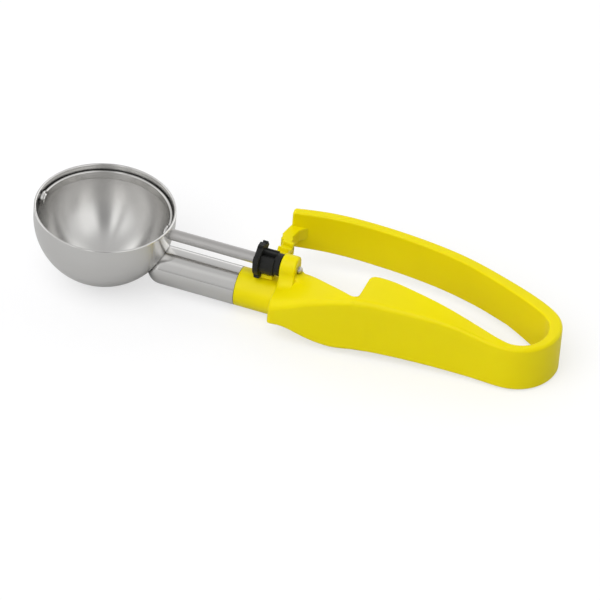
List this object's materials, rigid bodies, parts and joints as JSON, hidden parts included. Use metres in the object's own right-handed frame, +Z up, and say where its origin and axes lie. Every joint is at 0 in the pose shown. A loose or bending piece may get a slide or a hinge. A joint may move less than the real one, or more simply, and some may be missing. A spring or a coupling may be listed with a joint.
{
  "type": "squeeze ice cream disher",
  "caption": "Ice cream disher: hemispherical steel bowl on a tube, with a one-piece sprung loop handle whose squeezed arm sweeps a scraper blade round the bowl.",
  "frame": {"origin": "centre of the bounding box at the surface the tool lies on", "axes": "+X along the tool from bowl to tail, +Y towards the squeeze lever, +Z up; the tool lies on its bowl and tail, so its handle drops 3.375 degrees towards the tail"},
  "size_m": [0.2152, 0.0642, 0.0338],
  "materials": {
    "polished_steel": "polished pressed and drawn stainless steel",
    "black_plastic": "injection moulded, satin",
    "yellow_plastic": "injection moulded polypropylene, smooth"
  },
  "bodies": {
    "handle": {"bowl": "polished_steel", "shank_tube": "polished_steel", "pivot_rivet": "polished_steel", "handle_grip": "yellow_plastic"},
    "lever": {"squeeze_lever": "yellow_plastic"},
    "spindle": {"spindle_rod": "polished_steel", "scraper_blade": "polished_steel", "drive_pinion": "black_plastic"}
  },
  "joints": [
    {"name": "lever_squeeze", "type": "hinge", "parent": "handle", "child": "lever", "pos_m": [0.10457, -0.00231, 0.01013], "axis": [0.0589, 0, 0.9983], "range_deg": [0, 6.62], "stiffness_Nm_per_rad": 12, "springref_deg": -1.15},
    {"name": "spindle_turn", "type": "hinge", "parent": "handle", "child": "spindle", "pos_m": [-0.01576, -0.00431, 0.02423], "axis": [0.9983, 0, -0.0589], "range_deg": [-180, 0]}
  ],
  "couplings": [
    {"joint": "spindle_turn", "follows": "lever_squeeze", "ratio": -27.2}
  ]
}
